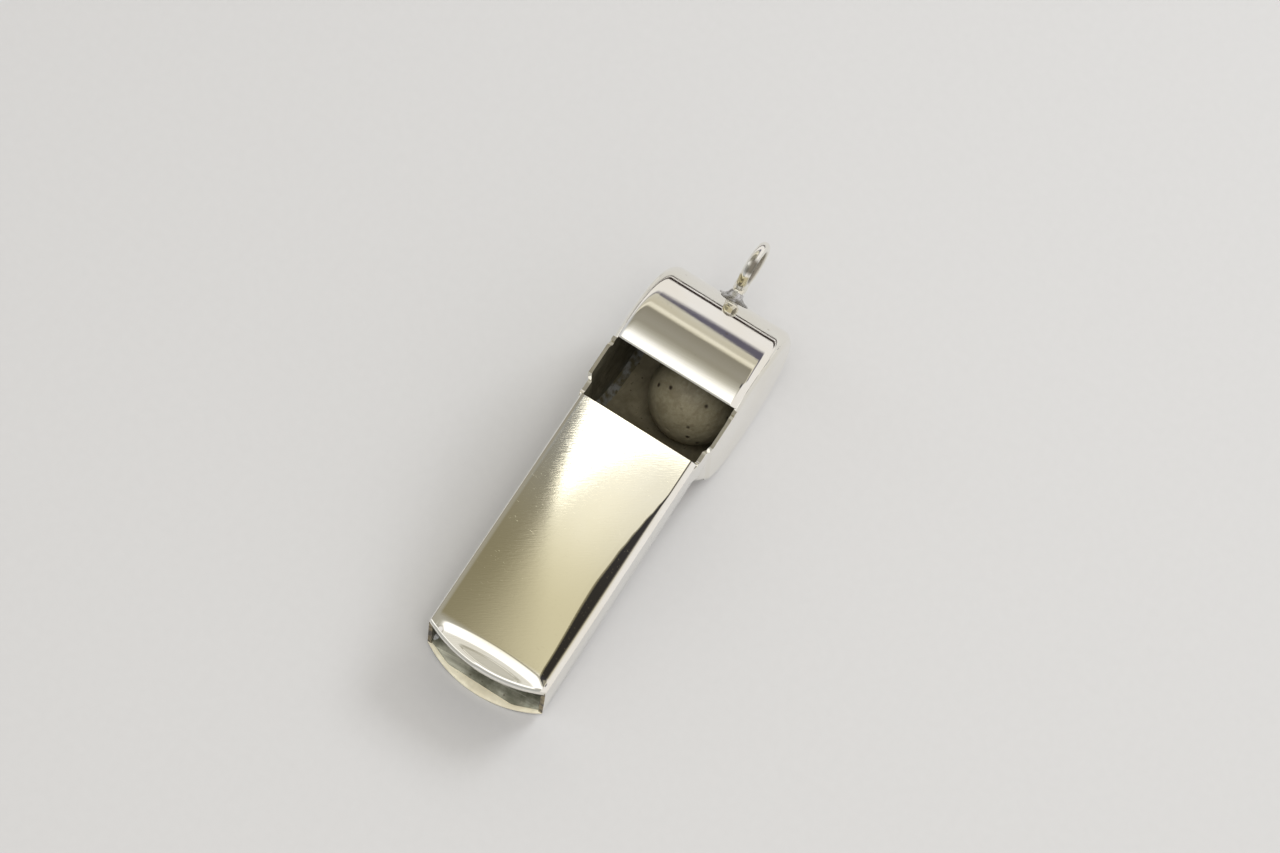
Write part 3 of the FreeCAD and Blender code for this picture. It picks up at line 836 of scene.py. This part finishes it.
def polished(name, stroke_turn, haze, spotted=0.0, yellowed=0.3):
    """Buffed silver plate: fine strokes one way, stray scratches, faint yellowing and pinholes."""
    material = bpy.data.materials.new(name)
    g = Graph(material)
    across = g.place((0.22, 7.0, 7.0), (0, 0, stroke_turn))
    stray = g.place((0.5, 6.0, 3.0), (20, 0, stroke_turn + 38))
    plain = g.place()
    strokes = g.noise(across, 1.0, 5.0, 0.65)
    strays = g.noise(stray, 1.3, 3.0, 0.5)
    cloud = g.noise(plain, 0.11, 3.0, 0.55)
    patches = g.noise(plain, 0.42, 4.0, 0.6)
    pinholes = g.span(g.spots(plain, 0.42), 0.03, 0.09, spotted, 0.0, True)
    fine = g.span(strays, 0.70, 0.74, 0.0, 1.0, True)
    tint = g.mix(g.span(cloud, 0.38, 0.66, 0.0, yellowed, True), BRIGHT, WARM)
    tint = g.mix(g.span(strokes, 0.35, 0.75, 0.0, 0.16), tint, WARM)
    # Worn film on the top plate; on the eye, a painted yellowish reflection.
    tint = g.mix(g.attribute("film_and_sheen"), tint, FILM_AND_SHEEN_TINT)
    tint = g.mix(pinholes, tint, TARNISH)
    # Painted shade and a painted dark reflection on the eye.
    tint = g.mix(g.attribute("painted_shade"), tint, PAINTED_SHADE_TINT)
    rough = g.math("ADD", g.span(strokes, 0.3, 0.7, haze * 0.55, haze * 1.35),
                   g.span(patches, 0.45, 0.75, 0.0, haze * 0.6))
    rough = g.math("ADD", rough, g.math("MULTIPLY", g.math("ADD", fine, pinholes), 0.08))
    rough = g.math("ADD", rough, g.math("MULTIPLY", g.attribute("painted_shade"), 0.25))
    normal = g.bump(strokes, 0.10, 0.00002)
    normal = g.bump(fine, 0.08, -0.00001, normal)
    g.surface(tint, 1.0, rough, normal)
    return material


def tarnished(name, light, dark, stroke_turn, metallic=0.45, streaks=(0.6, 7.0, 0.6), lines=0.0):
    """Unpolished metal: olive-brown film with darker stains, specks and rolling marks."""
    material = bpy.data.materials.new(name)
    g = Graph(material)
    plain = g.place()
    rolled = g.place(streaks, (0, 0, stroke_turn))
    stains = g.noise(plain, 0.34, 5.0, 0.62)
    film = g.noise(plain, 1.6, 4.0, 0.6)
    marks = g.noise(rolled, 1.0, 4.0, 0.6)
    specks = g.span(g.spots(plain, 0.8), 0.05, 0.12, 1.0, 0.0, True)
    tint = g.mix(g.span(stains, 0.35, 0.68, 0.0, 1.0, True), light, dark)
    tint = g.mix(g.span(film, 0.35, 0.7, 0.0, 0.35), tint, tuple(0.7 * c for c in light))
    tint = g.mix(g.span(marks, 0.5, 0.68, 0.0, 0.45), tint, dark)
    tint = g.mix(g.span(marks, 0.43, 0.34, 0.0, lines), tint, tuple(1.35 * c for c in light))
    tint = g.mix(g.math("MULTIPLY", specks, 0.7), tint, (0.07, 0.055, 0.03))
    rough = g.math("ADD", g.span(film, 0.3, 0.7, 0.24, 0.42), g.span(stains, 0.4, 0.7, 0.0, 0.14))
    normal = g.bump(marks, 0.18, 0.00003)
    normal = g.bump(film, 0.12, 0.00006, normal)
    g.surface(tint, metallic, rough, normal)
    return material


def soldered(name, clean, stained, gloss, metallic=1.0):
    """Dull, frozen solder with flux stains."""
    material = bpy.data.materials.new(name)
    g = Graph(material)
    plain = g.place()
    grain = g.noise(plain, 3.4, 5.0, 0.65)
    flow = g.noise(plain, 0.9, 3.0, 0.5)
    tint = g.mix(g.span(flow, 0.4, 0.62, 0.0, 1.0, True), clean, stained)
    tint = g.mix(g.span(grain, 0.56, 0.72, 0.0, 0.85), tint, (0.12, 0.10, 0.07))
    rough = g.span(grain, 0.3, 0.7, gloss, gloss + 0.24)
    g.surface(tint, metallic, rough, g.bump(grain, 0.5, 0.00012))
    return material


def corky():
    """Old cork, stained by the whistle: brown grain, dark pores, a little worn shine."""
    material = bpy.data.materials.new("old_cork")
    g = Graph(material)
    plain = g.place()
    cells = g.noise(plain, 2.6, 6.0, 0.7)
    bark = g.noise(g.place((1, 1, 2.4), (30, 12, 0)), 0.5, 4.0, 0.6)
    pores = g.span(g.spots(plain, 0.55), 0.06, 0.2, 1.0, 0.0, True)
    tint = g.mix(g.span(cells, 0.3, 0.7, 0.0, 1.0), (0.27, 0.24, 0.155), (0.40, 0.36, 0.25))
    tint = g.mix(g.span(bark, 0.45, 0.62, 0.0, 0.5, True), tint, (0.20, 0.17, 0.105))
    tint = g.mix(pores, tint, (0.035, 0.022, 0.012))
    rough = g.span(cells, 0.3, 0.7, 0.30, 0.52)
    normal = g.bump(cells, 0.45, 0.00014)
    normal = g.bump(pores, 0.5, -0.0002, normal)
    g.surface(tint, 0.0, rough, normal)
    return material


def floor_paper():
    """Even, pale grey paper to stand on."""
    material = bpy.data.materials.new("pale_floor")
    g = Graph(material)
    grain = g.noise(g.place(), 0.9, 3.0, 0.5)
    tint = g.mix(grain, (0.56, 0.56, 0.562), (0.585, 0.585, 0.587))
    g.surface(tint, 0.0, g.span(grain, 0, 1, 0.8, 0.9), g.bump(grain, 0.06, 0.0001))
    return material


# ---------------------------------------------------------------- the whistle

plate_metal = polished("plate_metal", 58, 0.03)
band_metal = polished("band_metal", 86, 0.045, 0.5)
side_metal = polished("side_metal", 0, 0.05, 0.3)
under_metal = polished("under_metal", 15, 0.07, 0.5, 0.5)
# Painted reflection: the bottom plate's upper face, seen at the lower lip, is tinted bright pale yellow
# for the light it mirrors there.
lip_painted_sheen = tarnished("lip_painted_sheen", (0.95, 0.90, 0.70), (0.85, 0.78, 0.58), 80, 0.3)
eye_metal = polished("eye_metal", 70, 0.05, 0.4, 0.5)
inside = tarnished("tarnished_inside", (0.46, 0.41, 0.28), (0.27, 0.235, 0.15), 8)
# Painted shade: a much darker copy of the chamber's tarnished inside, for the cheeks' inner walls.
side_inside_shaded = tarnished("shaded_tarnished_side", (0.15, 0.14, 0.10), (0.085, 0.08, 0.055), 30)
# Painted shade: the windway plate is tinted far darker than the chamber's inside, for the shade in the
# slot under the top plate; it also carries lighter streak lines.
windway = tarnished("windway_shaded_metal", (0.50, 0.50, 0.40), (0.13, 0.13, 0.085), 86,
                    streaks=(0.07, 3.4, 0.3), lines=0.9)
solder = soldered("rough_solder", (0.46, 0.47, 0.46), (0.22, 0.195, 0.12), 0.26, 0.45)
burr = soldered("front_edge_solder", (0.30, 0.24, 0.13), (0.06, 0.045, 0.025), 0.3, 0.6)
flange = soldered("flange_metal", (0.66, 0.66, 0.65), (0.30, 0.29, 0.27), 0.14)

side_metals = (side_metal, side_inside_shaded, burr)

# Each piece, the body it rides on, the CAD node it stands for and its material slot.
whistle = [
    (top_plate((plate_metal, inside)), "shell", ("mouthpiece_top",), "plated_brass"),
    (bottom_plate((under_metal, lip_painted_sheen)), "shell", ("mouthpiece_bottom",), "plated_brass"),
    (barrel_strip((band_metal, inside)), "shell", ("barrel_band",), "plated_brass"),
    (cheek_sheet("left_side", 1, side_metals), "shell", ("left_cheek",), "plated_brass"),
    (cheek_sheet("right_side", -1, side_metals), "shell", ("right_cheek",), "plated_brass"),
    (windway_plate(windway), "shell", ("windway_floor",), "plated_brass"),
    (chamber_bead("left_chamber_bead", 1, solder), "shell", ("chamber_solder_left",), "solder"),
    (chamber_bead("right_chamber_bead", -1, solder), "shell", ("chamber_solder_right",), "solder"),
    (mouth_bead("left_mouth_bead", 1, solder), "shell", ("mouth_solder_left",), "solder"),
    (mouth_bead("right_mouth_bead", -1, solder), "shell", ("mouth_solder_right",), "solder"),
    (lanyard_eye(eye_metal), "shell", ("loop",), "plated_brass"),
    (eye_collar(flange), "shell", ("loop_collar",), "plated_brass"),
    (cork_pea(corky()), "pea", ("pea",), "cork"),
]
for piece, body, nodes, finish in whistle:
    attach(piece, body)
    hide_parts(*nodes)


# ---------------------------------------------------------------- floor, camera and light

HALF_FLOOR = 1.6


def unseen(piece):
    """A card that only shows in the metal, and shades nothing."""
    piece.visible_camera = False
    piece.visible_diffuse = False
    piece.visible_shadow = False


def floor():
    """A flat floor of pale paper, far wider than the whistle."""
    data = bmesh.new()
    add_grid(data, [[(x, y, 0.0) for x in (-HALF_FLOOR, HALF_FLOOR)] for y in (-HALF_FLOOR, HALF_FLOOR)])
    piece = add_piece("floor", data, floor_paper())


floor()

# The camera: where it stands, in metres, and the directions of its picture.
EYE = Vector((-0.213259, -0.059990, 0.438056))
RIGHT = Vector((0.51969, -0.84186, 0.14560))
DOWN = Vector((-0.72549, -0.52485, -0.44519))
FORWARD = Vector((0.45121, 0.12573, -0.88352))
camera_data = bpy.data.cameras.new("camera")
camera_data.lens = 121.77
camera_data.sensor_width = 36.0
camera_data.clip_start = 0.01
camera_data.clip_end = 20.0
camera = bpy.data.objects.new("camera", camera_data)
camera.matrix_world = Matrix((
    (RIGHT.x, -DOWN.x, -FORWARD.x, EYE.x),
    (RIGHT.y, -DOWN.y, -FORWARD.y, EYE.y),
    (RIGHT.z, -DOWN.z, -FORWARD.z, EYE.z),
    (0, 0, 0, 1),
))
bpy.context.scene.collection.objects.link(camera)
bpy.context.scene.camera = camera


def area_light(name, place, aim, size, power, colour):
    """A rectangular lamp aimed at a point; the metal doesn't mirror it."""
    light = bpy.data.lights.new(name, "AREA")
    light.shape = "RECTANGLE"
    light.size, light.size_y = size
    light.energy = power
    light.color = colour
    holder = bpy.data.objects.new(name, light)
    holder.location = place
    holder.rotation_mode = "QUATERNION"
    holder.rotation_quaternion = (Vector(aim) - Vector(place)).to_track_quat("-Z", "Y")
    bpy.context.scene.collection.objects.link(holder)
    holder.visible_glossy = False


# The room that the metal mirrors, by height angle round the Y axis: 0 looks along +X, 90 up.
CEILING = (
    (-90, (0.50, 0.50, 0.50)),
    (44, (0.66, 0.64, 0.57)),
    (54, (0.62, 0.585, 0.49)),
    (60, (0.60, 0.56, 0.46)),
    (62, (0.92, 0.88, 0.76)),
    (66, (0.80, 0.75, 0.62)),
    (69, (0.27, 0.25, 0.20)),
    (84, (0.33, 0.31, 0.26)),
    (92, (0.33, 0.31, 0.255)),
    (98, (0.46, 0.44, 0.38)),
    (103, (0.62, 0.60, 0.54)),
    (108, (1.0, 0.98, 0.94)),
    (113, (1.32, 1.32, 1.32)),
    (124, (1.32, 1.32, 1.32)),
    (130, (0.55, 0.54, 0.50)),
    (150, (0.42, 0.42, 0.41)),
    (178, (0.60, 0.61, 0.63)),
    (182, (0.50, 0.50, 0.50)),
)
FULL_TURN = 360.0
# To the right, between these side angles, the bands curve up by this many degrees.
CURVE_ASIDE = (-6, -40)
CURVE_UP = 50
# The doorway: its middle and half its size by height angle, and the side angle it starts at.
DOOR_HEIGHT = 94.4
DOOR_HALF = 3.6
DOOR_ASIDE = -3.0
BEAM = (0.13, 0.122, 0.165)
DOORWAY = (0.05, 0.048, 0.056)
WALL = (0.90, 0.875, 0.87)
DADO = (0.035, 0.025, 0.022)
SIDE = (0.62, 0.63, 0.66)
BACKDROP = (0.60, 0.60, 0.605)


def room():
    """World light: a beige ceiling with a lamp behind the camera, a dark beam round it, a dark
    doorway to the right, pale walls and a dark dado far off, with a plain pale backdrop for the
    camera itself.  From a few degrees to the right on, the bands curve up to greater angles."""
    world = bpy.data.worlds.new("room")
    bpy.context.scene.world = world
    world.use_nodes = True
    g = Graph.__new__(Graph)
    g.tree = world.node_tree
    g.tree.nodes.clear()
    out = g.node("ShaderNodeOutputWorld")
    where = g.node("ShaderNodeTexCoord")
    split = g.node("ShaderNodeSeparateXYZ")
    g.link(where.outputs["Generated"], split.inputs[0])
    height = g.math("DEGREES", g.math("ARCTAN2", split.outputs["Z"], split.outputs["X"]), 0)
    aside = g.math("DEGREES", g.math("ARCSINE", split.outputs["Y"], 0), 0)
    bent = g.math("SUBTRACT", height, g.span(aside, *CURVE_ASIDE, 0, CURVE_UP, True))
    turned = g.math("MODULO", g.math("ADD", bent, 90 + FULL_TURN), FULL_TURN)
    ramp = g.node("ShaderNodeValToRGB")
    stops = ramp.color_ramp.elements
    for index, (angle, colour) in enumerate(CEILING):
        position = (angle + 90) / FULL_TURN
        stop = stops[index] if index < 2 else stops.new(position)
        stop.position = position
        stop.color = (*colour, 1.0)
    g.link(g.math("DIVIDE", turned, FULL_TURN), ramp.inputs["Fac"])
    colour = ramp.outputs["Color"]
    colour = g.mix(g.span(aside, 52, 80, 0, 1, True), colour, SIDE)
    lean = g.span(aside, 6.2, 8.2, 51.5, 44.5)
    colour = g.mix(g.span(g.math("SUBTRACT", lean, bent), -1.2, 1.8, 0, 1, True), colour, BEAM)
    level = g.math("ABSOLUTE", g.math("SUBTRACT", height, DOOR_HEIGHT))
    level = g.math("SUBTRACT", DOOR_HALF, level)
    door = g.math("MINIMUM", g.math("SUBTRACT", DOOR_ASIDE, aside), level)
    colour = g.mix(g.span(door, -1.0, 1.5, 0, 1, True), colour, DOORWAY)
    edge = g.math("SUBTRACT", g.span(aside, 7.2, 8.2, 35.5, 40.0), bent)
    corner = g.math("SUBTRACT", g.span(height, 76.0, 92.0, -42.0, -17.0), aside)
    beyond = g.math("SMOOTH_MAX", edge, corner)
    beyond.node.inputs[2].default_value = 3.0
    colour = g.mix(g.span(beyond, -4.5, 3.0, 0, 1, True), colour, WALL)
    low = g.math("MULTIPLY", g.span(height, 10.8, 9.6, 0, 1), g.span(height, 4.4, 5.0, 0, 1))
    rail = g.math("MULTIPLY", g.span(height, 2.1, 1.6, 0, 1), g.span(height, -1.0, -0.5, 0, 1))
    low = g.math("ADD", low, rail)
    low = g.math("MULTIPLY", low, g.span(aside, -30, -22, 0, 1))
    colour = g.mix(low, colour, DADO)
    mirrored = g.node("ShaderNodeBackground")
    g.link(colour, mirrored.inputs["Color"])
    plain = g.node("ShaderNodeBackground")
    plain.inputs["Color"].default_value = (*BACKDROP, 1.0)
    path = g.node("ShaderNodeLightPath")
    pick = g.node("ShaderNodeMixShader")
    g.link(path.outputs["Is Camera Ray"], pick.inputs["Fac"])
    g.link(mirrored.outputs[0], pick.inputs[1])
    g.link(plain.outputs[0], pick.inputs[2])
    g.link(pick.outputs[0], out.inputs["Surface"])


# The card over the top plate: its height and its corners in the frame, in metres, and the
# stretch of the whistle, in millimetres, that it is painted for.
CARD_HEIGHT = 0.16
CARD_X = (-42.0, -6.0)
CARD_Y = (-20.0, 11.5)
CARD_CORNERS = ((-0.0439, -0.0070), (-0.0439, 0.0348), (0.0026, -0.0080), (0.0026, 0.0330))


def card_point(x, y):
    """Where the card's own x and y, in millimetres of the plate under it, hang in the frame."""
    along = (x - CARD_X[0]) / (CARD_X[1] - CARD_X[0])
    across = (y - CARD_Y[0]) / (CARD_Y[1] - CARD_Y[0])
    corners = [Vector((*corner, CARD_HEIGHT)) for corner in CARD_CORNERS]
    mouth_end = corners[0].lerp(corners[1], across)
    return mouth_end.lerp(corners[2].lerp(corners[3], across), along)


def card_glow(x, y):
    """Softbox glow: a broad warm fall-off, crisp along its left side near the window only, and
    a white wedge along that side."""
    crisp = 3.5 + 2.8 * (x + 22.8) / 12.35
    blur = 0.15 + 0.42 * max(0.0, -21.8 - x)
    level = 0.63 + 0.29 * smoothstep(-36.0, -19.0, x)
    level *= 1.0 - 0.25 * smoothstep(-1.0, -6.5, y) * smoothstep(-34.0, -22.0, x)
    broad = Vector((1.0, 1.0, 0.98)) * level * smoothstep(crisp + blur, crisp - blur, y)
    cool = Vector((0.0, 0.02, 0.07)) * smoothstep(crisp - 0.1, crisp + 0.6, y) * smoothstep(-26, -14, x)
    soft = -8.8 - 13.8 * math.exp(min(0.0, y - 3.6) * 0.3)
    wide = 0.9 + 0.3 * max(0.0, 3.5 - y)
    wedge = smoothstep(soft - wide, soft + wide, x) * smoothstep(crisp + 0.12, crisp - 0.12, y)
    return (broad + cool).lerp(Vector((2.4, 2.4, 2.3)), wedge)


def softbox_card(lit_piece):
    """The overhead card: a clear sheet whose glow, painted on a fine grid, fades out at its
    borders and falls on the top plate alone."""
    xs = spaced(*CARD_X, 150)
    ys = spaced(*CARD_Y, 150)
    data = bmesh.new()
    glow = data.verts.layers.float_color.new("glow")
    rings = add_grid(data, [[card_point(x, y) for y in ys] for x in xs])
    for x, ring in zip(xs, rings):
        for y, vertex in zip(ys, ring):
            fade = smoothstep(CARD_X[0], CARD_X[0] + 1.2, x) * smoothstep(CARD_Y[0], CARD_Y[0] + 1.0, y)
            fade *= smoothstep(CARD_Y[1], CARD_Y[1] - 3.0, y)
            vertex[glow] = (*(fade * card_glow(x, y)), 1.0)
    material = bpy.data.materials.new("card_glow")
    g = Graph(material)
    paint = g.node("ShaderNodeAttribute", attribute_name="glow")
    shine = g.node("ShaderNodeEmission")
    g.link(paint.outputs["Color"], shine.inputs["Color"])
    clear = g.node("ShaderNodeBsdfTransparent")
    both = g.node("ShaderNodeAddShader")
    g.link(clear.outputs[0], both.inputs[0])
    g.link(shine.outputs[0], both.inputs[1])
    g.link(both.outputs[0], g.out.inputs["Surface"])
    card = add_piece("softbox_card", data, material)
    unseen(card)
    lit = bpy.data.collections.new("lit_by_card")
    lit.objects.link(lit_piece)
    card.light_linking.receiver_collection = lit


room()
softbox_card(whistle[0][0])
area_light("key", (0.42, -0.16, 0.42), (0, 0, 0), (0.26, 0.22), 1.5, (0.97, 0.985, 1.0))
area_light("fill", (-0.16, -0.06, 0.5), (0, 0, 0), (0.2, 0.2), 0.9, (1.0, 0.97, 0.92))

bpy.context.scene.view_settings.view_transform = "Standard"
bpy.context.scene.view_settings.look = "None"
